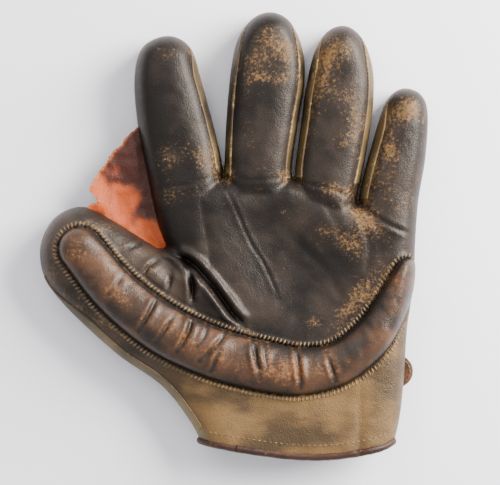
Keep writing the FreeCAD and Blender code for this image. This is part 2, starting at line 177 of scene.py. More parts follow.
# soft swellings: middle, reach, reach the other way, direction in degrees, height
SWELLS = [
    ((-15, -31), 15, 5.5, -58, 2.6),
    ((-28, -24), 10, 4.5, -75, 2.2),
    ((-41, -21), 9, 5, -55, 1.6),
    ((-3, -14), 26, 12, -50, 1.5),
    ((-62, -14), 12, 4, -42, 1.0),
    ((52, 8), 18, 14, 20, 1.0),
]


def smooth_line(points, per_span=8, closed=False):
    """A rounded line through points (Catmull-Rom), as an array."""
    p = np.array(points, float)
    ends = (p[-1:], p[:1], p[1:2]) if closed else (2 * p[:1] - p[1:2], 2 * p[-1:] - p[-2:-1])
    p = np.vstack([ends[0], p, *ends[1:]])
    t = np.linspace(0, 1, per_span, endpoint=False)[:, None]
    spans = []
    for a, b, c, d in zip(p, p[1:], p[2:], p[3:]):
        spans.append(0.5 * (2 * b + (c - a) * t + (2 * a - 5 * b + 4 * c - d) * t ** 2
                            + (3 * b - a - 3 * c + d) * t ** 3))
    line = np.vstack(spans) if closed else np.vstack([*spans, p[-2:-1]])
    return line + SHIFT


def straight_line(points):
    return np.array(points, float) + SHIFT


def directions(line):
    """Unit vectors along the line at each of its points."""
    way = np.gradient(line, axis=0)
    return way / (np.linalg.norm(way, axis=1)[:, None] + 1e-12)


def offset_line(line, amount):
    """The line moved to the right of the way along it. amount may differ from point to point."""
    way = directions(line)
    return line + np.stack([way[:, 1], -way[:, 0]], 1) * np.reshape(amount, (-1, 1))


def line_length(line):
    """Distance along the line at each of its points."""
    return np.concatenate([[0], np.cumsum(np.linalg.norm(np.diff(line, axis=0), axis=1))])


# ---- fields over the plan ----
XS = np.arange(-113.0, 113.0, CELL)
YS = np.arange(-129.0, 129.0, CELL)
ZS = np.arange(-3.0, 44.0, CELL)
GX, GY = np.meshgrid(XS, YS, indexing="ij")


def nearest_on(line):
    """For every point of the plan: distance to the line, and how far along the line that is."""
    best = np.full(GX.shape, 1e9)
    along = np.zeros(GX.shape)
    lengths = line_length(line)
    for (x0, y0), (x1, y1), start in zip(line, line[1:], lengths):
        dx, dy = x1 - x0, y1 - y0
        run = dx * dx + dy * dy + 1e-12
        t = np.clip(((GX - x0) * dx + (GY - y0) * dy) / run, 0, 1)
        gap = np.hypot(GX - x0 - t * dx, GY - y0 - t * dy)
        nearer = gap < best
        best = np.where(nearer, gap, best)
        along = np.where(nearer, start + t * math.sqrt(run), along)
    return best, along


def signed_distance(line):
    """Distance to a closed outline, below 0 inside it."""
    ring = np.vstack([line, line[:1]])
    gap, _ = nearest_on(ring)
    odd = np.zeros(GX.shape, bool)
    for (x0, y0), (x1, y1) in zip(ring, ring[1:]):
        if y0 == y1:
            continue
        spans = (y0 > GY) != (y1 > GY)
        odd ^= spans & (GX < x0 + (GY - y0) * (x1 - x0) / (y1 - y0))
    return np.where(odd, -gap, gap)


def soft_min(a, b, reach):
    """The smaller of a and b, rounded where they cross."""
    h = np.clip(0.5 + 0.5 * (b - a) / reach, 0, 1)
    return b + (a - b) * h - reach * h * (1 - h)


def ramp(x, low, high):
    """0 below low, 1 above high, smooth between."""
    t = np.clip((x - low) / (high - low), 0, 1)
    return t * t * (3 - 2 * t)


def noise(x, y, size, seed):
    """Smooth random field from -1 to 1: bumps about size across."""
    rng = np.random.default_rng(seed)
    table = rng.uniform(-1, 1, (256, 256))
    u, v = np.asarray(x) / size + 101.3, np.asarray(y) / size + 57.7
    i, j = np.floor(u).astype(int), np.floor(v).astype(int)
    f, g = u - i, v - j
    f, g = f * f * (3 - 2 * f), g * g * (3 - 2 * g)

    def corner(a, b):
        return table[(i + a) % 256, (j + b) % 256]

    low = corner(0, 0) * (1 - f) + corner(1, 0) * f
    high = corner(0, 1) * (1 - f) + corner(1, 1) * f
    return low * (1 - g) + high * g


def groove(line, depth, width):
    """A crease along a line, fading at both its ends."""
    gap, along = nearest_on(line)
    total = line_length(line)[-1]
    fade = ramp(along, -0.5, 8) * ramp(total - along, -0.5, 8)
    wander = 1 + 0.35 * noise(GX, GY, 7, 3)
    pinch = np.exp(-(gap / width) ** 2)
    lip = 0.6 * np.exp(-((gap - 2.4 * width) / (1.2 * width)) ** 2)
    return depth * wander * fade * (lip - pinch)


def spot(x, y, middle, across, along, turn):
    """1 in the middle of a soft long patch, whose reach across lies turned from the plan's x."""
    c, s = math.cos(math.radians(turn)), math.sin(math.radians(turn))
    dx, dy = x - middle[0] - SHIFT[0], y - middle[1] - SHIFT[1]
    u, v = (dx * c + dy * s) / across, (dy * c - dx * s) / along
    return np.exp(-u * u - v * v)


class Plan:
    """The plan's fields, worked out once."""

    def __init__(self):
        self.outlines = {name: smooth_line(points) for name, points in FINGERS.items()}
        self.outlines["thumb"] = smooth_line(THUMB)
        self.finger = {}
        for name, line in self.outlines.items():
            root = straight_line(ROOTS[name]) if name in ROOTS else np.zeros((0, 2))
            self.finger[name] = signed_distance(np.vstack([line, root]))
        hand = signed_distance(straight_line(CORE))
        for name in FINGERS:
            hand = soft_min(hand, self.finger[name], 2.0)
        self.hand = hand
        crotch_fill = signed_distance(smooth_line(CROTCH_FILL, 6, closed=True))
        self.edge = soft_min(soft_min(hand, self.finger["thumb"], 4.0), crotch_fill, 3.0)
        self.wrist_line = smooth_line(WRIST)
        self.wrist = self.below(self.wrist_line)
        per_span = 12
        self.roll_line = smooth_line(ROLL_LINE, per_span)
        corner = np.arange(len(self.roll_line)) / per_span
        self.roll_half = np.interp(corner, range(len(ROLL_HALF)), ROLL_HALF)
        gap, self.roll_along = nearest_on(self.roll_line)
        half = np.interp(self.roll_along, line_length(self.roll_line), self.roll_half)
        self.roll_gap = gap - half
        self.roll_share = gap / half
        self.roll_side = self.below(np.vstack([straight_line([(-130, 30)]), self.roll_line,
                                               straight_line([(98, -10), (130, -8)])]))
        self.hall = self.hand_space()
        self.top = self.palm_side()
        self.back = self.back_side()

    def below(self, line):
        """Signed distance to an open line across the plan, above 0 on the wrist's side."""
        gap, _ = nearest_on(line)
        level = np.interp(GX, line[:, 0], line[:, 1])
        return np.where(GY < level, gap, -gap)

    def hand_space(self):
        thumb = signed_distance(smooth_line(THUMB_HALL, 6, closed=True))
        return soft_min(self.hand + LEATHER + LINING + 0.3, thumb, 3.0)

    def palm_side(self):
        """Height of the palm side inside its rounded edge."""
        depth = -np.minimum(self.edge, 0)
        full = np.clip(depth / CROWN, 0, 1)
        height = EDGE_TOP + (CASE_TOP - EDGE_TOP) * (1 - (1 - full) ** 2)
        # the valleys that run down from the crotches between the fingers
        for left, right, crotch_y in CROTCHES:
            between = np.exp(-(np.abs(self.finger[left]) + np.abs(self.finger[right])) / 4.0)
            height = height - VALLEY_DEEP * between * ramp(GY, crotch_y - 12, crotch_y + 3)
        x, y, reach, deep = POCKET
        height = height - deep * np.exp(-(np.hypot(GX - x, GY - y) / reach) ** 2)
        # the roll, the folds across it, and the sewn band round it
        crest = np.clip(1 - self.roll_share ** 2.4, 0, 1) ** 0.6
        lumps = 1 + 0.06 * noise(self.roll_along, self.roll_side, 9, 5)
        height = height + ROLL_HIGH * crest * lumps
        on_roll = 1 - ramp(self.roll_gap, -3.5, -0.5)
        for points, deep, width in ROLL_FOLDS:
            height = height + groove(smooth_line(points), deep, width) * on_roll
        puckers = noise(self.roll_along + 0.3 * self.roll_side, 0.4 * self.roll_side, 3.2, 22)
        height = height + 0.35 * puckers * on_roll * (1 - on_roll * 0.3)
        band = np.exp(-((self.roll_gap - 0.5 - ROW_WIDTH / 2) / (0.5 * ROW_WIDTH)) ** 4)
        height = height + ROW_HIGH * band
        height = height - ROW_GROOVE * np.exp(-((self.roll_gap + 0.1) / 0.8) ** 2)
        away = ramp(self.roll_gap, ROW_WIDTH, ROW_WIDTH + 3)
        for points, deep, width in CREASES:
            height = height + groove(smooth_line(points), deep, width) * away
        for *patch, rise in SWELLS:
            height = height + rise * spot(GX, GY, *patch) * away
        height = height + 0.35 * noise(GX, GY, 14, 11) + 0.12 * noise(GX, GY, 4.5, 12)
        return height

    def back_side(self):
        """Height of the back of the glove."""
        height = WRIST_LIFT * ramp(-GY, 38, 58)
        return height + 0.25 * (1 + noise(GX, GY, 16, 31)) * ramp(-self.edge, 0, 6)


plan = Plan()


def sample(field, x, y):
    """The field between its grid points."""
    u = np.clip((np.asarray(x) - XS[0]) / CELL, 0, len(XS) - 1.001)
    v = np.clip((np.asarray(y) - YS[0]) / CELL, 0, len(YS) - 1.001)
    i, j = u.astype(int), v.astype(int)
    f, g = u - i, v - j
    return ((field[i, j] * (1 - f) + field[i + 1, j] * f) * (1 - g)
            + (field[i, j + 1] * (1 - f) + field[i + 1, j + 1] * f) * g)


def rounded(edge, top, low, top_round, low_round):
    """Distance field of a soft form with an outline, an upper and a lower surface."""
    z = ZS[None, None, :]

    def one(rise, radius):
        a, b = edge[:, :, None] + radius, rise + radius
        return np.hypot(np.maximum(a, 0), np.maximum(b, 0)) + np.minimum(np.maximum(a, b), 0) - radius

    upper = one(z - top[:, :, None], top_round)
    lower = one(low[:, :, None] - z, low_round)
    return np.maximum(upper, lower).astype(np.float32)


def surface(field):
    """(points, four-sided faces) where the field is 0, facing outwards."""
    grid = openvdb.FloatGrid()
    grid.background = 10.0
    grid.copyFromArray(field)
    points, quads = grid.convertToQuads(isovalue=0.0)
    points = points.astype(float) * CELL + np.array([XS[0], YS[0], ZS[0]])
    return points, quads.astype(int)


def point_normals(points, faces):
    """Normals at the points, from the faces round them."""
    a, b, c, d = (points[faces[:, k]] for k in range(4))
    flat = np.cross(c - a, d - b)
    total = np.zeros_like(points)
    for k in range(4):
        np.add.at(total, faces[:, k], flat)
    return total / (np.linalg.norm(total, axis=1)[:, None] + 1e-12)


# ---- where the glove bends ----
JOINTS = {j["name"]: j for j in frame["record"]["behaviour"]["joints"]}


def bend_line(joint):
    """A hinge's middle, the way along it, and the way ahead of it, over the plan."""
    at = np.array(JOINTS[joint]["pos_m"][:2]) / MM
    along = np.array(JOINTS[joint]["axis"][:2])
    return at, along, np.array([-along[1], along[0]])


BENDS = {}
for finger in FINGERS:
    hinge, _, ahead = bend_line(finger + "_flex")
    BENDS[finger] = (hinge - BEND_LEAD * ahead, hinge + (FINGER_BEND - BEND_LEAD) * ahead)
thumb_hinge, thumb_along, _ = bend_line("thumb_fold")
crotch = thumb_hinge + 51 * thumb_along + np.array([5, 0])      # beside the web's lower end
BENDS["thumb"] = (crotch, crotch + THUMB_BEND * THUMB_WAY)


def past_bend(name, x, y):
    """How far a place is past the start of a bend."""
    start, end = BENDS[name]
    way = (end - start) / np.linalg.norm(end - start)
    return (x - start[0]) * way[0] + (y - start[1]) * way[1]


def moves_with(piece, name):
    """A palm piece is attached to the palm's body; any other piece keeps its place, with its transform
    baked in.
    """
    if name == "palm":
        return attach(piece, "palm")
    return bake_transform(piece)


def part_of(x, y):
    """Which bending part each place belongs to: 0 palm, 1 to 4 fingers, 5 thumb."""
    owner = np.zeros(np.shape(x), int)
    for k, name in enumerate(FINGERS, 1):
        own = (past_bend(name, x, y) > 0) & (sample(plan.finger[name], x, y) < 2.0)
        owner[own] = k
    thumb_nearer = sample(plan.finger["thumb"], x, y) < sample(plan.finger["index"], x, y)
    low = (owner == 0) & (past_bend("thumb", x, y) > 0)
    owner[low & (thumb_nearer | (y < -16))] = 5
    return owner


PARTS = ["palm", *FINGERS, "thumb"]
# fingers with a gusset on their left and on their right side
GUSSETED = {"index": (False, True), "middle": (True, True), "ring": (True, True), "little": (True, False)}


def on_right(name, x, y):
    """True on the right of a finger's middle line."""
    hinge = bend_line(name + "_flex")[0]
    line = plan.outlines[name]
    tip = line[line[:, 1].argmax()]
    way = (tip - hinge) / np.linalg.norm(tip - hinge)
    return (x - hinge[0]) * way[1] - (y - hinge[1]) * way[0] > 0


def finger_inset(name, y):
    """How far inside a finger's outline the seam between its front and its gusset lies."""
    tip = plan.outlines[name][:, 1].max()
    return TIP_INSET + (SEAM_INSET - TIP_INSET) * ramp(tip - y, 4, 24)


def seam_field(name, x, y):
    """Above 0 outside a finger's seam."""
    return sample(plan.finger[name], x, y) + finger_inset(name, y)


def thumb_inset(y):
    """How far inside the thumb's outline its seam lies, along the thumb's lower side."""
    return TIP_INSET + 3.6 * ramp(-y, 24, 50)


def surface_top(x, y):
    """Height of the palm side's surface, its rounded edge too."""
    in_from_edge = np.clip(sample(plan.edge, x, y) + TOP_ROUND, 0, TOP_ROUND)
    return sample(plan.top, x, y) - TOP_ROUND + np.sqrt(TOP_ROUND ** 2 - in_from_edge ** 2)


# ---- pieces ----
def new_piece(name, points, faces, normals, slot, material, **fields):
    """An object in metres with its own normals, and named number fields for its material."""
    mesh = bpy.data.meshes.new(name)
    mesh.from_pydata((points * MM).tolist(), [], [tuple(f) for f in faces])
    mesh.polygons.foreach_set("use_smooth", [True] * len(mesh.polygons))
    if normals is not None:
        mesh.normals_split_custom_set_from_vertices(normals.tolist())
    for field, values in fields.items():
        layer = mesh.attributes.new(field, "FLOAT", "POINT")
        layer.data.foreach_set("value", np.asarray(values, np.float32))
    mesh.materials.append(material)
    piece = bpy.data.objects.new(name, mesh)
    bpy.context.collection.objects.link(piece)
    return piece


def thick_skin(points, faces, normals, thickness):
    """A skin's outer side, its inner side thickness below, and the cut edge round it."""
    used, local = np.unique(faces, return_inverse=True)
    local = local.reshape(faces.shape)
    outer, up = points[used], normals[used]
    inner = outer - up * thickness
    count = len(used)
    edges = np.stack([local, np.roll(local, -1, axis=1)], 2).reshape(-1, 2)
    key = np.sort(edges, axis=1)
    _, back, uses = np.unique(key[:, 0] * count + key[:, 1], return_inverse=True, return_counts=True)
    rim = edges[uses[back.ravel()] == 1]
    a, b = rim[:, 0], rim[:, 1]
    corners = np.stack([outer[b], outer[a], inner[a], inner[b]], 1)
    side = np.cross(outer[b] - outer[a], up[a] + up[b])
    side /= np.linalg.norm(side, axis=1)[:, None] + 1e-12
    rim_faces = 2 * count + np.arange(4 * len(rim)).reshape(-1, 4)
    all_points = np.vstack([outer, inner, corners.reshape(-1, 3)])
    all_normals = np.vstack([up, -up, np.repeat(side, 4, axis=0)])
    all_faces = np.vstack([local, local[:, ::-1] + count, rim_faces])
    return all_points, all_faces, all_normals


def bridged(rings, count):
    """Four-sided faces between neighbouring closed rings of count points each."""
    start = np.arange(rings - 1)[:, None] * count
    i = np.arange(count)[None, :]
    j = (i + 1) % count
    return np.stack([start + i, start + j, start + count + j, start + count + i], 2).reshape(-1, 4)


def tube(line, radius, sides=8, flat=1.0):
    """A round cord along a line of points, as (points, faces)."""
    line = np.asarray(line, float)
    way = directions(line)
    side = np.cross(way, [0, 0, 1.0])
    side /= np.linalg.norm(side, axis=1)[:, None] + 1e-9
    up = np.cross(side, way)
    turn = np.linspace(0, 2 * math.pi, sides, endpoint=False)
    radius = np.broadcast_to(np.asarray(radius, float), len(line))
    around = (side[:, None] * np.cos(turn)[None, :, None]
              + up[:, None] * np.sin(turn)[None, :, None] * flat)
    points = line[:, None] + around * radius[:, None, None]
    count = len(line)
    ends = [tuple(range(sides)), tuple(range((count - 1) * sides, count * sides))[::-1]]
    return points.reshape(-1, 3), [*map(tuple, bridged(count, sides)[:, ::-1]), *ends]


def merged(parts):
    """Several (points, faces) as one."""
    points, faces, start = [], [], 0
    for p, f in parts:
        points.append(p)
        faces.extend(tuple(v + start for v in face) for face in f)
        start += len(p)
    return np.vstack(points), faces


# ---- materials ----
class Look:
    """A material's nodes, with short ways to add to them."""

    def __init__(self, name):
        self.material = bpy.data.materials.new(name)
        self.material.use_nodes = True
        self.nodes = self.material.node_tree.nodes
        self.shader = self.nodes["Principled BSDF"]
        self.where = self.nodes.new("ShaderNodeTexCoord").outputs["Object"]

    def feed(self, socket, value):
        """Joins an output to an input, or gives the input a number or a colour."""
        if isinstance(value, bpy.types.NodeSocket):
            self.material.node_tree.links.new(value, socket)
        else:
            socket.default_value = (*value, 1) if socket.type == "RGBA" else value

    def add(self, kind, *values, **settings):
        """A node with its first inputs fed in order, others by name; gives back its first output."""
        node = self.nodes.new("ShaderNode" + kind)
        for socket, value in zip(node.inputs, values):
            self.feed(socket, value)
        for key, value in settings.items():
            if key in node.inputs:
                self.feed(node.inputs[key], value)
            else:
                setattr(node, key, value)
        return node.outputs[0]

    def texture(self, kind, scale, stretch=(1.0, 1.0, 1.0), **settings):
        """A noise or Voronoi texture in object space; scale is in features per metre."""
        place = self.where
        if stretch != (1.0, 1.0, 1.0):
            place = self.add("Mapping", place, Scale=stretch)
        return self.add("Tex" + kind, Vector=place, Scale=scale, **settings)

    def field(self, name):
        """A number field of the piece."""
        node = self.nodes.new("ShaderNodeAttribute")
        node.attribute_name = name
        return node.outputs["Fac"]

    def mix(self, factor, low, high):
        """A colour between two, each an output or a plain colour."""
        node = self.nodes.new("ShaderNodeMix")
        node.data_type = "RGBA"
        for place, value in ((0, factor), (6, low), (7, high)):
            self.feed(node.inputs[place], value)
        return node.outputs[2]

    def total(self, start, *terms):
        """start plus the sum of output * weight."""
        for value, weight in terms:
            start = self.add("Math", value, weight, start, operation="MULTIPLY_ADD")
        return start

    def step(self, value, low, high):
        """0 below low and 1 above high."""
        return self.add("MapRange", value, low, high, interpolation_type="SMOOTHSTEP")

    def finish(self, colour, rough, relief, strength, depth, **others):
        """Feeds the shader. relief is bumped by strength, depth metres deep."""
        bump = self.add("Bump", Strength=strength, Distance=depth, Height=relief)
        for key, value in {"Base Color": colour, "Roughness": rough, "Normal": bump, **others}.items():
            self.feed(self.shader.inputs[key], value)
        return self.material


def leather(name, dark, light, worn, rough=0.42, tone_size=30.0, scuffs=0.5, grain=0.22, shine=0.34,
            stretch=(1.0, 1.0, 1.0)):
    """Old leather: grain, uneven tone, dirt in the grain, and worn and scratched places.
    The fields wear (0 to 1) and tone (about -1 to 1) of the piece say where; tone also carries painted
    shade in the creases and painted light towards the little finger."""
    look = Look(name)
    wear, tone = look.field("wear"), look.field("tone")
    cloud = look.texture("Noise", tone_size, stretch, Detail=6.0, Roughness=0.62)
    patch = look.texture("Noise", 140.0, stretch, Detail=7.0, Roughness=0.7)
    fleck = look.texture("Noise", 620.0, Detail=5.0, Roughness=0.75)
    fibre = look.texture("Noise", 260.0, Detail=6.0, Roughness=0.8, Distortion=2.2)
    pores = look.texture("Voronoi", 1250.0, Randomness=1.0)
    cracks = look.texture("Voronoi", 330.0, feature="DISTANCE_TO_EDGE", Randomness=1.0)
    lines = look.texture("Noise", 900.0, (0.2, 1.0, 1.0), Detail=4.0, Distortion=1.2)
    # tone brings in painted shade in the creases and painted light towards the little finger
    shade = look.total(-0.55, (cloud, 1.5), (patch, 0.5), (tone, 0.5))
    base = look.mix(look.step(shade, 0.12, 0.85), dark, light)
    amount = look.total(-1.6, (wear, 1.0), (patch, 0.75), (fleck, 1.9), (fibre, 0.6))
    bare = look.step(amount, 0.4, 0.82)
    stained = tuple(0.5 * c for c in worn)
    raw = look.mix(look.step(fibre, 0.36, 0.62), stained, worn)
    rubbed = look.mix(look.step(wear, 0.1, 0.9), base, light)
    streak = look.total(0.0, (lines, 1.0), (cloud, 0.35), (wear, 0.2))
    scratched = look.step(streak, 0.95 - 0.08 * scuffs, 1.12 - 0.08 * scuffs)
    colour = look.mix(scratched, look.mix(bare, rubbed, raw), worn)
    roughness = look.total(rough - 0.15, (cloud, 0.16), (fleck, 0.14), (bare, 0.2))
    relief = look.total(0.0, (pores, 0.5), (fleck, 0.5), (patch, 0.45), (scratched, -0.25),
                        (look.step(cracks, 0.0, 0.05), 0.25), (bare, -0.35))
    others = {"Specular IOR Level": shine, "Specular Tint": (1.0, 0.9, 0.8)}
    return look.finish(colour, roughness, relief, grain, 0.0012, **others)


def felt(name, colour):
    """Grey wool felt: soft, matt, with fibres."""
    look = Look(name)
    fibres = look.texture("Noise", 900.0, Detail=8.0, Roughness=0.8, Distortion=1.5)
    clumps = look.texture("Noise", 120.0, Detail=4.0)
    shade = look.step(look.total(0.0, (fibres, 0.8), (clumps, 0.5)), 0.4, 0.9)
    low = tuple(c * 0.6 for c in colour)
    return look.finish(look.mix(shade, low, colour), 0.95, fibres, 0.6, 0.001, **{"Sheen Weight": 0.3})


def thread(name, colour):
    """Waxed linen thread: twisted, worn dark in places."""
    look = Look(name)
    darkening = look.texture("Noise", 160.0, Detail=3.0)
    twist = look.texture("Noise", 2600.0, Detail=2.0)
    low = tuple(c * 0.35 for c in colour)
    return look.finish(look.mix(look.step(darkening, 0.35, 0.65), low, colour), 0.75, twist, 0.5, 0.0004)


def brass(name, colour):
    """Tarnished brass."""
    look = Look(name)
    tarnish = look.texture("Noise", 420.0, Detail=6.0, Roughness=0.7)
    spots = look.step(tarnish, 0.42, 0.68)
    low = (colour[0] * 0.25, colour[1] * 0.2, colour[2] * 0.2)
    rough = look.total(0.28, (spots, 0.35))
    return look.finish(look.mix(spots, colour, low), rough, tarnish, 0.15, 0.0004, Metallic=1.0)


PALM = leather("palm_leather", (0.004, 0.003, 0.0026), (0.021, 0.0145, 0.0108), (0.18, 0.093, 0.03),
               rough=0.4, scuffs=0.6, grain=0.17, shine=0.27)
ROLL = leather("roll_leather", (0.013, 0.0105, 0.0085), (0.076, 0.034, 0.0165), (0.21, 0.088, 0.03),
               rough=0.36, scuffs=0.6, grain=0.22, tone_size=45.0)
THUMB_SKIN = leather("thumb_leather", (0.012, 0.009, 0.0075), (0.042, 0.027, 0.018), (0.2, 0.108, 0.038),
                     rough=0.4, scuffs=0.6, grain=0.25)
HEEL = leather("heel_leather", (0.044, 0.0255, 0.0098), (0.145, 0.08, 0.027), (0.28, 0.175, 0.074),
               rough=0.46, scuffs=0.6, grain=0.32, tone_size=62.0, stretch=(0.4, 1.0, 1.0))
EDGE = leather("edge_leather", (0.036, 0.026, 0.009), (0.15, 0.105, 0.036), (0.34, 0.24, 0.095),
               rough=0.5, scuffs=0.6)
GUSSET = leather("gusset_leather", (0.02, 0.014, 0.0075), (0.1, 0.066, 0.028), (0.36, 0.24, 0.1),
                 rough=0.42, scuffs=0.7)
BACK = leather("back_leather", (0.03, 0.016, 0.01), (0.095, 0.05, 0.026), (0.22, 0.13, 0.07),
               rough=0.45, scuffs=0.6, tone_size=22.0)
WEB_SKIN = leather("web_leather", (0.05, 0.013, 0.009), (0.4, 0.066, 0.012), (0.52, 0.23, 0.09),
                   rough=0.5, scuffs=0.2, tone_size=60.0, grain=0.35)
STRAP_SKIN = leather("strap_leather", (0.035, 0.018, 0.01), (0.12, 0.05, 0.025), (0.26, 0.14, 0.07),
                     rough=0.45)
LINING_SKIN = leather("lining_leather", (0.17, 0.11, 0.06), (0.36, 0.26, 0.16), (0.2, 0.12, 0.07),
                      rough=0.7, scuffs=0.1, grain=0.3)
WELT = leather("welt_leather", (0.03, 0.018, 0.009), (0.12, 0.075, 0.032), (0.4, 0.27, 0.12), rough=0.45)
BINDING = leather("binding_leather", (0.01, 0.0042, 0.003), (0.036, 0.0125, 0.0065), (0.19, 0.074, 0.028),
                  rough=0.5, scuffs=0.7)
FELT = felt("wool_felt", (0.45, 0.42, 0.36))
THREAD = thread("linen_thread", (0.21, 0.132, 0.058))
BRASS = brass("old_brass", (0.6, 0.4, 0.16))


# ---- fields that say where leather is worn, and its tone ----
def nearest_of(creases):
    """Distance over the plan to the nearest of several creases."""
    gaps = [nearest_on(smooth_line(points))[0] for points, _, _ in creases]
    return np.minimum.reduce(gaps)


CREASE_GAP = nearest_of(CREASES[:6])     # the creases round the thumb and the one across the palm
FOLD_GAP = nearest_of(ROLL_FOLDS)
# middle, reach, reach the other way, direction in degrees, amount
WORN_SPOTS = [
    ((20, 103), 11, 13, 0, 0.42), ((22, 86), 12, 4, -4, 0.4), ((8, 60), 4, 22, 4, 0.3),
    ((55, 100), 12, 13, -10, 0.5), ((44, 72), 5, 22, -8, 0.36), ((62, 56), 8, 12, 0, 0.32),
    ((95, 70), 9, 10, 0, 0.55), ((86, 42), 6, 16, -10, 0.44), ((-36, 100), 14, 8, 0, 0.28),
    ((-30, 44), 16, 8, 10, 0.3), ((-14, 40), 6, 12, 10, 0.32), ((-36, 22), 14, 8, 20, 0.28),
    ((28, 34), 12, 5, 0, 0.42), ((60, 26), 14, 6, -12, 0.42), ((72, 12), 9, 7, 0, 0.3),
    ((-2, 34), 5, 6, 0, 0.36), ((-40, -20), 18, 7, -40, 0.2),
    ((78, -22), 10, 14, 20, 0.28), ((-72, 6), 12, 4, -20, 0.3), ((92, 16), 8, 10, 0, 0.3),
    ((64, -38), 6, 18, -35, 0.5), ((72, 8), 20, 5, -35, 0.32), ((66, -4), 8, 12, 0, 0.36),
    ((50, 4), 22, 5, -25, 0.3), ((44, -46), 5, 4, 0, 0.4), ((50, 92), 4, 14, -8, 0.3),
    ((62, 78), 10, 8, 0, 0.26), ((68, 66), 5, 16, 0, 0.26), ((-88, -34), 14, 4, -42, 0.34),
    ((-98, -14), 4, 12, 0, 0.3), ((-70, -48), 14, 4, -42, 0.3), ((84, 60), 4, 14, -8, 0.3),
    ((10, 92), 5, 10, 0, 0.26), ((30, 100), 5, 10, 0, 0.26), ((76, 34), 5, 12, -5, 0.34),
]
ROLL_SPOTS = [
    ((32, -72), 22, 8, 2, 0.5), ((-84, -8), 9, 12, 20, 0.42), ((-30, -52), 16, 6, -32, 0.35),
    ((-60, -32), 16, 5, -40, 0.32), ((-4, -64), 12, 6, -20, 0.3), ((88, -26), 6, 10, 10, 0.3),
]


def wear_at(x, y, z, spots):
    """How worn the leather is, 0 to 1."""
    total = np.zeros(len(x))
    for *patch, amount in spots:
        total += amount * spot(x, y, *patch)
    for gap, amount in ((CREASE_GAP, 0.16), (FOLD_GAP, 0.22)):
        total += amount * np.exp(-((sample(gap, x, y) - 2.0) / 1.1) ** 2)
    for name in FINGERS:
        seam = seam_field(name, x, y)
        own = sample(plan.finger[name], x, y) < 1.5
        beyond = past_bend(name, x, y) > -6
        along = 0.2 + 0.2 * noise(x, y, 6, 43)
        total += along * np.exp(-(seam / 1.2) ** 2) * own * beyond * (z > 15)
    total += 0.2 * np.exp(-((sample(plan.roll_gap, x, y) - 0.4 - ROW_WIDTH / 2) / 1.7) ** 2)
    rubbed_edge = 0.3 * np.exp(-((sample(plan.edge, x, y) + 1.5) / 2.5) ** 2)
    total = np.where(z > SIDE_SEAM, total, rubbed_edge)
    total += 0.07 + 0.1 * noise(x, y, 11, 44)
    return np.clip(total, 0, 1)


def past_heel_start(x, y):
    """How far to the right of its start on the thumb the heel's leather is."""
    return x + 38 - 0.4 * (y + 70)


def tone_at(x, y, z):
    """Lighter above 0, darker below it: uneven, darker with painted shade in the creases and seams, and
    lighter with painted light towards the little finger.
    """
    # painted shade: darker in the creases, in the folds across the roll and in the groove beside the roll
    darkening = np.zeros(np.shape(x))
    for field, width in ((CREASE_GAP, 1.3), (FOLD_GAP, 0.9)):
        darkening = np.maximum(darkening, np.exp(-(sample(field, x, y) / width) ** 2))
    darkening = np.maximum(darkening, np.exp(-((sample(plan.roll_gap, x, y) + 0.6) / 1.0) ** 2))
    # painted light: lighter towards the little finger, the side the window light comes from
    painted_light_towards_little = (ramp(x, -50, 105) - 0.5) * ramp(y, 0, 40)
    uneven = 0.6 * noise(x, y, 22, 41) + 0.4 * noise(x, y, 8, 42)
    past = past_heel_start(x, y)
    faded = np.where(past > 0, -2.2 * np.exp(-(past / 13) ** 2), 1.0 * np.exp(-(past / 12) ** 2))
    below_roll = (sample(plan.roll_side, x, y) > 0) & (sample(plan.roll_gap, x, y) > -0.2)
    below_roll &= sample(plan.edge, x, y) < -thumb_inset(y)
    return uneven + 1.5 * painted_light_towards_little + (faded * below_roll - 1.2 * darkening) * (z > SIDE_SEAM)


# ---- the case's leather ----
field = rounded(plan.edge, plan.top, plan.back, TOP_ROUND, BACK_ROUND)
field = np.maximum(field, plan.wrist[:, :, None])
POINTS, QUADS = surface(field)
NORMALS = point_normals(POINTS, QUADS)
MIDDLES = POINTS[QUADS].mean(axis=1)
FX, FY, FZ = MIDDLES.T
FACE_UP = NORMALS[QUADS].mean(axis=1)


def in_slot(x, y):
    """The slot in the back of the wrist, open at its end."""
    beside = (np.abs(x - SLOT_MIDDLE) < SLOT_HALF) & (y < SLOT_TOP)
    return beside | (np.hypot(x - SLOT_MIDDLE, y - SLOT_TOP) < SLOT_HALF)


def at_wrist(x, y, way_y):
    """The flat end that the wrist's line cuts, which is open."""
    return (sample(plan.wrist, x, y) > -0.45 * CELL) & (way_y < -0.35)


OPEN = at_wrist(FX, FY, FACE_UP[:, 1])
OPEN |= (FZ < SIDE_SEAM) & (FY < BACK_END)
OPEN |= (FZ < SIDE_SEAM) & (FACE_UP[:, 2] < 0) & in_slot(FX, FY)
OWNER = part_of(FX, FY)
ROLL_GAP = sample(plan.roll_gap, FX, FY)
ROLL_SIDE = sample(plan.roll_side, FX, FY)
IS_ROLL = (ROLL_GAP < -0.1) & (FZ > SIDE_SEAM + 3)


def piece_of_skin(name, faces, owner, slot, material, replaces, spots=WORN_SPOTS, thickness=LEATHER,
                  source=None):
    """One piece of leather cut out of a soft surface, with its thickness."""
    points, quads, normals = source or (POINTS, QUADS, NORMALS)
    p, f, n = thick_skin(points, quads[faces], normals, thickness)
    wear = wear_at(p[:, 0], p[:, 1], p[:, 2], spots)
    piece = new_piece(name, p, f, n, slot, material, wear=wear, tone=tone_at(*p.T))
    moves_with(piece, owner)
    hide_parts(*replaces)
    return piece


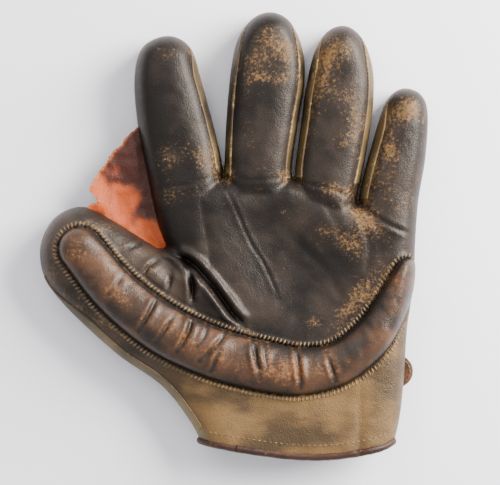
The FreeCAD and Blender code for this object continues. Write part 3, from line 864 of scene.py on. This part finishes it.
def build_case():
    """The case's leather: front, back and gusset of each finger, the palm, the thumb and the roll."""
    kept = ~OPEN
    for k, name in enumerate(FINGERS, 1):
        own = kept & (OWNER == k)
        seam = seam_field(name, FX, FY)
        right = on_right(name, FX, FY)
        tip = plan.outlines[name][:, 1].max()
        gusseted = np.where(right, GUSSETED[name][1], GUSSETED[name][0]) & (FY < tip - GUSSET_END)
        front = own & np.where(gusseted, (seam < 0) & (FZ > SIDE_SEAM), FZ > SIDE_SEAM - 1)
        back = own & ~front & np.where(gusseted, FZ < BACK_SEAM, True)
        gusset = own & ~front & ~back
        piece_of_skin(name + "_front_leather", front, name, "finger_leather", PALM,
                      [name + "_front", name + "_crease"])
        piece_of_skin(name + "_back_leather", back, name, "back_leather", BACK, [name + "_back"])
        piece_of_skin(name + "_gusset_leather", gusset, name, "gusset_leather", GUSSET,
                      [name + "_gussets"])
    thumb = kept & (OWNER == 5)
    palm = kept & (OWNER == 0)
    upper = FZ > SIDE_SEAM
    on_heel = (ROLL_SIDE > 0) & ~IS_ROLL
    heel_start = past_heel_start(FX, FY) > 0
    piece_of_skin("palm_leather_front", palm & upper & ~IS_ROLL & ~on_heel, "palm", "palm_leather", PALM,
                  ["palm_front"])
    piece_of_skin("palm_leather_heel", palm & upper & on_heel, "palm", "heel_leather", HEEL,
                  ["heel_panel"])
    piece_of_skin("palm_leather_roll", palm & IS_ROLL, "palm", "roll_leather", ROLL,
                  ["heel_roll_cover"], ROLL_SPOTS)
    piece_of_skin("palm_leather_back", palm & ~upper, "palm", "back_leather", BACK, ["hand_back"])
    at_edge = thumb & upper & (sample(plan.edge, FX, FY) > -thumb_inset(FY))
    at_edge &= (ROLL_SIDE > 0) & (FY < -24)
    flank = thumb & upper & ~IS_ROLL & ~at_edge
    piece_of_skin("thumb_leather_front", flank & ~(on_heel & heel_start), "thumb",
                  "palm_leather", THUMB_SKIN, ["thumb_front"])
    piece_of_skin("thumb_leather_heel", flank & on_heel & heel_start, "thumb", "heel_leather", HEEL, [])
    piece_of_skin("thumb_leather_edge", at_edge, "thumb", "back_leather", EDGE, [])
    piece_of_skin("thumb_leather_roll", thumb & IS_ROLL, "thumb", "roll_leather", ROLL,
                  ["thumb_roll_cover", "bend_roll_cover"], ROLL_SPOTS)
    piece_of_skin("thumb_leather_back", thumb & ~upper, "thumb", "back_leather", BACK, ["thumb_back"])


# ---- the lining, and the felt between it and the case ----
def hall_floor_and_roof():
    """Heights of the hand's space: it is higher at the wrist than in the fingers."""
    floor = plan.back + LEATHER + 1.2
    roof = 15.0 + 9.2 * ramp(-GY, 36, 66)
    return floor, np.minimum(roof, plan.top - 2.4)


def build_lining():
    """The lining leather. Gives back the field of the space inside it."""
    floor, roof = hall_floor_and_roof()
    hall = rounded(plan.hall, roof, floor, 4.0, 2.0)
    points, quads = surface(np.maximum(hall, plan.wrist[:, :, None]))
    normals = point_normals(points, quads)
    x, y, z = points[quads].mean(axis=1).T
    way = normals[quads].mean(axis=1)
    gone = at_wrist(x, y, way[:, 1]) | ((z < SIDE_SEAM + 2) & (y < BACK_END))
    gone |= (way[:, 2] < 0) & (z < 18) & in_slot(x, y)
    owner = part_of(x, y)
    outwards = (points + normals * LINING, quads, normals)
    low = (way[:, 2] < -0.6) & (z < 17)
    for k, name in enumerate(PARTS):
        own = ~gone & (owner == k)
        halves = [(name, own)]
        if name == "palm":
            halves = [("palm", own & ~low), ("back", own & low)]
        for label, faces in halves:
            piece_of_skin(label + "_lining_leather", faces, name, "lining", LINING_SKIN,
                          [label + "_lining"], [], LINING, outwards)
    return hall


def build_felt(hall):
    """Felt fills what the leather leaves above the hand, a little clear of both."""
    coarse = 2
    corner = np.array([XS[0], YS[0], ZS[0]])
    z = ZS[None, None, :]
    inside = np.maximum(field + LEATHER + 0.5, -(hall - LINING - 0.4))
    above = np.maximum(inside, (SIDE_SEAM + 1.5) - z)
    under_roll = np.maximum(np.maximum(above, 25.5 - z), plan.roll_gap[:, :, None] + 2)
    rest = np.maximum(above, -(under_roll - 0.4))
    rest = np.maximum(rest, plan.wrist[:, :, None] + 9)
    stands_for = {"palm_felt": ["palm_pad"], "palm_roll_stuffing": ["heel_roll_felt"],
                  "thumb_roll_stuffing": ["thumb_roll_felt", "bend_roll_felt"]}
    for label, solid, parts in (("_felt", rest, PARTS), ("_roll_stuffing", under_roll, ("palm", "thumb"))):
        points, quads = surface(np.ascontiguousarray(solid[::coarse, ::coarse, ::coarse]))
        points = (points - corner) * coarse + corner
        normals = point_normals(points, quads)
        middles = points[quads].mean(axis=1)
        owner = part_of(middles[:, 0], middles[:, 1])
        for name in parts:
            own = owner == PARTS.index(name)
            if not own.any():
                continue
            used, local = np.unique(quads[own], return_inverse=True)
            piece = new_piece(name + label, points[used], local.reshape(-1, 4), normals[used], "felt", FELT)
            moves_with(piece, name)
            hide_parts(*stands_for.get(name + label, [name + "_pad"]))


# ---- welts, stitches, binding ----
def seam_line(name, right):
    """A finger's seam on one side, from its tip down to its crotch, over the plan."""
    line = plan.outlines[name]
    peak = line[:, 1].argmax()
    half = line[peak:] if right else line[:peak + 1][::-1]
    inset = finger_inset(name, half[:, 1])
    moved = offset_line(half, inset if right else -inset)
    keep = (moved[:, 1] < line[peak, 1] - GUSSET_END + 1) & (past_bend(name, *moved.T) > -2.5)
    return moved[keep]


def resampled(line, step):
    """Points at even steps along a line."""
    lengths = line_length(line)
    spots = np.arange(0, lengths[-1], step)
    return np.stack([np.interp(spots, lengths, line[:, k]) for k in range(line.shape[1])], 1)


def build_welts():
    """The welts in the fingers' seams, and the one along the thumb's lower side."""
    for name in FINGERS:
        parts = []
        for right in (False, True):
            if GUSSETED[name][right]:
                line = resampled(seam_line(name, right), 1.2)
                lumps = 1 + 0.1 * noise(line[:, 0], line[:, 1], 3, 7)
                radius = np.maximum(0.7 * ramp(np.arange(len(line)), -1, 6) * lumps, 0.25)
                parts.append(tube(np.column_stack([line, surface_top(*line.T) + 0.15]), radius))
        points, faces = merged(parts)
        sewn_welt(name, points, faces, 0.25 + 0.35 * noise(points[:, 0], points[:, 1], 10, 51))
    outline = plan.outlines["thumb"]
    line = outline[:outline[:, 0].argmin()]
    line = resampled(line[(sample(plan.wrist, *line.T) < -3) & (line[:, 1] < -20)], 1.2)
    moved = offset_line(line, thumb_inset(line[:, 1]))
    points, faces = tube(np.column_stack([moved, surface_top(*moved.T) + 0.1]), 0.65)
    sewn_welt("thumb", points, faces, np.full(len(points), 0.3))


def sewn_welt(name, points, faces, wear):
    """A welt's piece, in the place of its CAD node."""
    piece = new_piece(name + "_welt_leather", points, faces, None, "welt", WELT,
                      wear=wear, tone=tone_at(*points.T))
    moves_with(piece, name)
    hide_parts(name + "_welt")


def stitch(start, end, radius, dip=0.35):
    """One stitch: a short cord, its ends sunk in the leather."""
    steps = np.linspace(0, 1, 5)[:, None]
    line = start + (end - start) * steps
    line[:, 2] -= dip * (2 * steps[:, 0] - 1) ** 2 * 2
    return tube(line, radius * np.array([0.55, 0.95, 1.0, 0.95, 0.55]), 6)


def stitches_along(line, pitch, length, radius, lift, turn=0.0):
    """Stitches along a line over the plan, lying on the palm side, each turned from its way."""
    c, s = math.cos(math.radians(turn)), math.sin(math.radians(turn))
    spots = resampled(line, pitch)
    way = directions(spots) @ np.array([[c, s], [-s, c]])
    made = []
    for spot_at, to in zip(spots, way):
        a, b = spot_at - to * length / 2, spot_at + to * length / 2
        ends = [np.array([*p, float(surface_top(*p)) + lift]) for p in (a, b)]
        made.append((stitch(*ends, radius), spot_at))
    return made


def row_lines():
    """The closed line of stitches round the crescent: inner row, thumb end, outer row, heel end."""
    reach = plan.roll_half + 0.4 + ROW_WIDTH / 2
    inner = offset_line(plan.roll_line, -reach)
    outer = offset_line(plan.roll_line, reach)
    thumb_end = turned_end(plan.roll_line[0], inner[0], outer[0])
    heel_end = turned_end(plan.roll_line[-1], outer[-1], inner[-1])
    return np.vstack([inner[::-1], thumb_end, outer, heel_end, inner[-1:]])


def turned_end(middle, start, end):
    """Points of the arc that goes anticlockwise round middle, from start to end, without its ends."""
    a, b = (math.atan2(*(p - middle)[::-1]) for p in (start, end))
    turn = np.linspace(a, b + (2 * math.pi if b < a else 0), 24)[1:-1]
    radius = np.linalg.norm(start - middle)
    return middle + radius * np.stack([np.cos(turn), np.sin(turn)], 1)


def build_stitches():
    """The rows round the roll, and the row above the wrist's binding."""
    made = stitches_along(row_lines(), 2.2, ROW_WIDTH, 0.52, 0.5, turn=72)
    for k, name, node in ((0, "palm", "heel_roll_stitches"), (5, "thumb", "thumb_roll_stitches")):
        parts = [s for s, at in made if part_of(*at) == k and sample(plan.edge, *at) < -2]
        points, faces = merged(parts)
        piece = new_piece(name + "_roll_thread", points, faces, None, "thread", THREAD)
        moves_with(piece, name)
        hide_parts(node)
    wrist_row = resampled(offset_line(plan.wrist_line, -6.2), 1.0)
    wrist_row = wrist_row[(sample(plan.edge, *wrist_row.T) < -2) & (wrist_row[:, 0] > -22)]
    made = stitches_along(wrist_row, 3.0, 2.1, 0.32, 0.12)
    for k, name in ((0, "palm"), (5, "thumb")):
        parts = [s for s, at in made if part_of(*at) == k]
        if parts:
            points, faces = merged(parts)
            moves_with(new_piece(name + "_wrist_thread", points, faces, None, "thread", THREAD), name)


def wrist_rim():
    """The rim of the case at the wrist: up its thumb side, across and down the other side."""
    line = resampled(plan.wrist_line, 1.5)
    line = line[sample(plan.edge, *line.T) < -0.3]
    top = surface_top(*line.T)
    down = np.arange(0, 6, 1.5)[:, None]
    left = np.column_stack([np.repeat(line[:1], 4, 0), top[0] - down[::-1] - 1.5])
    right = np.column_stack([np.repeat(line[-1:], 4, 0), top[-1] - down - 1.5])
    return np.vstack([left, np.column_stack([line, top]), right])


def bound_edge(name, line, width, height, sunk, node, owner="palm"):
    """A strip of leather folded over an edge and sewn down."""
    sides = 14
    line = line - [0, 0, sunk]
    points, faces = tube(line, width, sides, flat=height / width)
    ripple = 1 + 0.06 * noise(points[:, 0] * 1.7, points[:, 1] * 1.7 + points[:, 2], 4, 61)
    middle = np.repeat(line, sides, axis=0)
    points = middle + (points - middle) * ripple[:, None]
    wear = np.clip(0.2 + 0.35 * noise(points[:, 0], points[:, 1], 9, 62), 0, 1)
    piece = new_piece(name, points, faces, None, "binding", BINDING, wear=wear, tone=tone_at(*points.T))
    moves_with(piece, owner)
    if node:
        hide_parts(node)


def build_binding():
    """The bound rim at the wrist, and the bound edge of the back, round its slot."""
    rim = wrist_rim()
    owner = part_of(rim[:, 0], rim[:, 1])
    for k, name, node in ((0, "palm", "heel_binding"), (5, "thumb", None)):
        own = np.flatnonzero(owner == k)
        if len(own) > 2:
            line = rim[max(own[0] - 2, 0):own[-1] + 3]
            slimmer = 0.15 if name == "thumb" else 0.0      # its end tucks into the palm's binding
            bound_edge(name + "_wrist_binding", line, 2.3 - slimmer, 2.5 - slimmer, 1.4, node, name)
    # the back's own edge: from the thumb's side, round the slot, to the little finger's side
    low, high = SLOT_MIDDLE - SLOT_HALF, SLOT_MIDDLE + SLOT_HALF
    end = BACK_END + 0.6
    turn = np.linspace(math.pi, 0, 22)
    arch = np.stack([SLOT_MIDDLE + SLOT_HALF * np.cos(turn), SLOT_TOP + SLOT_HALF * np.sin(turn)], 1)
    line = resampled(np.vstack([[(-21, end), (low, end)], arch, [(high, end), (89, end)]]), 1.5)
    height = sample(plan.back, *line.T) + 1.3
    bound_edge("back_edge_binding", np.column_stack([line, height]), 1.9, 1.7, 0.0, "back_binding")


# ---- web, strap, press stud ----
def web_height(x, y):
    """The web hangs a little slack between the first finger and the thumb."""
    slack = 2.2 * np.exp(-(((x + 62) / 12) ** 2 + ((y - 22) / 18) ** 2))
    fold = 1.6 * np.exp(-(((x + 70) * 0.8 + (y - 14) * 0.6) / 5) ** 2)
    return 15.0 - slack + fold + 1.1 * noise(x, y, 9, 71) + 0.5 * noise(x, y, 3.5, 72)


def build_web():
    """The torn web: a thin sheet with a ragged free edge."""
    ragged = 0.9 * noise(GX, GY, 4.5, 73) + 0.5 * noise(GX, GY, 1.9, 74)
    free_edge = ramp(np.minimum(plan.finger["index"], plan.finger["thumb"]), 0, 4)
    gap = signed_distance(straight_line(WEB)) + ragged * free_edge
    inside = gap < 0.5 * CELL
    cells = inside[:-1, :-1] & inside[1:, :-1] & inside[1:, 1:] & inside[:-1, 1:]
    number = np.arange(GX.size).reshape(GX.shape)
    quads = np.stack([number[:-1, :-1][cells], number[1:, :-1][cells],
                      number[1:, 1:][cells], number[:-1, 1:][cells]], 1)
    x, y = GX.ravel().copy(), GY.ravel().copy()
    # points near the edge are moved on to it
    slope_x, slope_y = (g.ravel() for g in np.gradient(gap, CELL))
    rim = (gap.ravel() > -0.7 * CELL) & inside.ravel()
    pull = gap.ravel() / (slope_x ** 2 + slope_y ** 2 + 1e-6)
    x[rim] -= (pull * slope_x)[rim]
    y[rim] -= (pull * slope_y)[rim]
    points = np.column_stack([x, y, web_height(x, y)])
    used, local = np.unique(quads, return_inverse=True)
    points, quads = points[used], local.reshape(-1, 4)
    normals = point_normals(points, quads)
    p, f, n = thick_skin(points, quads, normals, WEB_THICK)
    finger = sample(plan.finger["index"], p[:, 0], p[:, 1])
    dark = np.clip(1.0 - finger / 16.0, 0, 1) * ramp(p[:, 1], -4, 14)
    high = ramp(p[:, 1] - 0.35 * (p[:, 0] + 70), 14, 34)
    tone = 1.2 - 2.5 * dark - 1.6 * high + 0.7 * noise(p[:, 0], p[:, 1], 6, 75)
    edge_wear = np.exp(-(sample(gap, p[:, 0], p[:, 1]) / 1.6) ** 2) * 0.5
    web = new_piece("web_leather", p, f, n, "web_leather", WEB_SKIN,
                    wear=np.clip(edge_wear + 0.15 * (1 - dark), 0, 1), tone=tone)
    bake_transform(web)
    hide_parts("web")


def box_mm(node):
    """A CAD node's lowest and highest corners, in millimetres."""
    return np.array(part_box(node)) / MM


def strap_outline(low_x, high_x, middle, half, round_end):
    """Corners of a strap seen from above; its high end may be round."""
    end = [(high_x, middle - half), (high_x, middle + half)]
    if round_end:
        turn = np.linspace(-math.pi / 2, math.pi / 2, 17)
        end = [(high_x - half + half * math.cos(a), middle + half * math.sin(a)) for a in turn]
    return np.array([(low_x, middle - half), *end, (low_x, middle + half)])


def pulled_in(outline, amount):
    """A closed outline moved inwards."""
    way = np.roll(outline, -1, axis=0) - np.roll(outline, 1, axis=0)
    way /= np.linalg.norm(way, axis=1)[:, None] + 1e-9
    return outline + np.stack([-way[:, 1], way[:, 0]], 1) * amount


def strap_piece(name, node, round_end, edge_lift):
    """A strap with rounded edges in a CAD node's place. Its high end may lift a little."""
    low, high = box_mm(node)
    middle, half = (low[1] + high[1]) / 2, (high[1] - low[1]) / 2
    inset = 0.35
    corners = strap_outline(low[0] + inset, high[0] - inset, middle, half - inset, round_end)
    outline = resampled(np.vstack([corners, corners[:1]]), 1.2)
    # rings from the middle of the lower side, out, up the edge, and in again over the upper side
    edge = [(0.6, 0.0), (0.15, 0.18), (0.0, 0.5), (0.0, 0.75), (0.15, 0.9), (0.6, 1.0)]
    rim = pulled_in(outline, edge[0][0])
    core = np.column_stack([np.clip(rim[:, 0], rim[:, 0].min() + 9, rim[:, 0].max() - 9),
                            np.full(len(rim), rim[:, 1].mean())])
    inwards = [rim + (core - rim) * share for share in (0.35, 0.7, 1.0)]
    rings = [(ring, 0.0) for ring in inwards[::-1]]
    rings += [(pulled_in(outline, pull), level) for pull, level in edge]
    rings += [(ring, 1.0) for ring in inwards]
    depth = high[2] - low[2]
    points = np.vstack([np.column_stack([ring, np.full(len(ring), low[2] + depth * level)])
                        for ring, level in rings])
    points[:, 2] += edge_lift * ramp(points[:, 0], high[0] - 12, high[0])
    points[:, 2] += 0.25 * noise(points[:, 0], points[:, 1], 14, 81)
    wear = np.clip(0.25 + 0.5 * noise(points[:, 0], points[:, 1], 7, 82), 0, 1)
    return new_piece(name, points, bridged(len(rings), len(outline)), None, "strap_leather", STRAP_SKIN,
                     wear=wear, tone=tone_at(*points.T))


def strap_thread(name, stitches, body):
    """Flat stitches, each given by its two ends."""
    points, faces = merged([stitch(np.array(a), np.array(b), 0.28, dip=0.0) for a, b in stitches])
    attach(new_piece(name, points, faces, None, "thread", THREAD), body)


def build_strap():
    """The wrist strap, its tail sewn to the back, their stitches, and the press stud's brass."""
    pitch, long, lift = 2.8, 1.9, 1.6
    strap = strap_piece("wrist_strap_leather", "wrist_strap", True, lift)
    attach(strap, "strap")
    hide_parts("wrist_strap")
    tail = strap_piece("strap_tail_leather", "strap_tail", False, 0.0)
    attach(tail, "palm")
    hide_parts("strap_tail")
    # a row round the strap's edge, on both its sides
    low, high = box_mm("wrist_strap")
    middle, half = (low[1] + high[1]) / 2, (high[1] - low[1]) / 2
    spots = resampled(strap_outline(low[0] + 3, high[0] - 2.2, middle, half - 2.2, True), pitch)
    stitches = []
    for z in (low[2] - 0.05, high[2] + 0.02):
        for at, way in zip(spots[1:], directions(spots)[1:]):
            level = z + lift * ramp(at[0], high[0] - 12, high[0])
            stitches.append(((*(at - way * long / 2), level), (*(at + way * long / 2), level)))
    strap_thread("wrist_strap_thread", stitches, "strap")
    # a box with a cross in it holds the tail
    low, high = box_mm("strap_tail")
    left, near, right, far = low[0] + 2, low[1] + 2, high[0] - 2, high[1] - 2
    corners = np.array([(left, near), (right, near), (right, far), (left, far)])
    stitches = []
    for a, b in ((0, 1), (1, 2), (2, 3), (3, 0), (0, 2), (1, 3)):
        way = (corners[b] - corners[a]) / np.linalg.norm(corners[b] - corners[a])
        for at in resampled(corners[[a, b]], pitch):
            level = low[2] - 0.05
            stitches.append(((*at, level), (*(at + way * long), level)))
    strap_thread("strap_tail_thread", stitches, "palm")
    for node in ("snap_cap", "snap_socket", "snap_stud", "snap_washer"):
        part = frame["nodes"][node]
        for slot_used in part.material_slots:
            slot_used.material = BRASS


# ---- stage ----
def build_stage():
    """The pale floor, soft light from the right, and the camera straight above."""
    paper = Look("paper")
    paper.feed(paper.shader.inputs["Base Color"], (0.95, 0.93, 0.955))
    paper.feed(paper.shader.inputs["Roughness"], 0.9)
    half = 3.0
    corners = [(-half, -half, 0), (half, -half, 0), (half, half, 0), (-half, half, 0)]
    mesh = bpy.data.meshes.new("floor")
    mesh.from_pydata(corners, [], [(0, 1, 2, 3)])
    mesh.materials.append(paper.material)
    floor = bpy.data.objects.new("floor", mesh)
    floor.location.z = CAD_BOX[0][2] - 0.0003
    bpy.context.collection.objects.link(floor)

    world = bpy.data.worlds.new("room")
    world.use_nodes = True
    sky = world.node_tree.nodes["Background"]
    sky.inputs["Color"].default_value = (0.93, 0.95, 1.0, 1)
    sky.inputs["Strength"].default_value = 1.0
    bpy.context.scene.world = world

    def area(name, place, size, power, colour):
        light = bpy.data.lights.new(name, "AREA")
        light.shape = "RECTANGLE"
        light.size, light.size_y = size
        light.energy = power
        light.color = colour
        lamp = bpy.data.objects.new(name, light)
        lamp.location = place
        lamp.rotation_euler = (Vector((0, 0, 0)) - Vector(place)).to_track_quat("-Z", "Y").to_euler()
        bpy.context.collection.objects.link(lamp)

    area("window", (0.78, 0.38, 0.52), (0.7, 0.6), 48, (1.0, 0.98, 0.965))
    area("bounce", (-0.5, 0.9, 1.2), (1.2, 1.2), 10, (0.95, 0.96, 1.0))

    camera_data = bpy.data.cameras.new("camera")
    camera_data.lens = 150
    camera_data.sensor_width = 36
    camera_data.clip_end = 50
    camera = bpy.data.objects.new("camera", camera_data)
    centre = (Vector(CAD_BOX[0]) + Vector(CAD_BOX[1])) / 2
    across = 0.2725          # of the floor's level that the picture shows
    distance = across * camera_data.lens / camera_data.sensor_width
    camera.location = (centre.x + 0.0087, centre.y - 0.0029, 0.022 + distance)
    bpy.context.collection.objects.link(camera)
    bpy.context.scene.camera = camera


build_case()
hall_field = build_lining()
build_felt(hall_field)
build_welts()
build_stitches()
build_binding()
build_web()
build_strap()
build_stage()
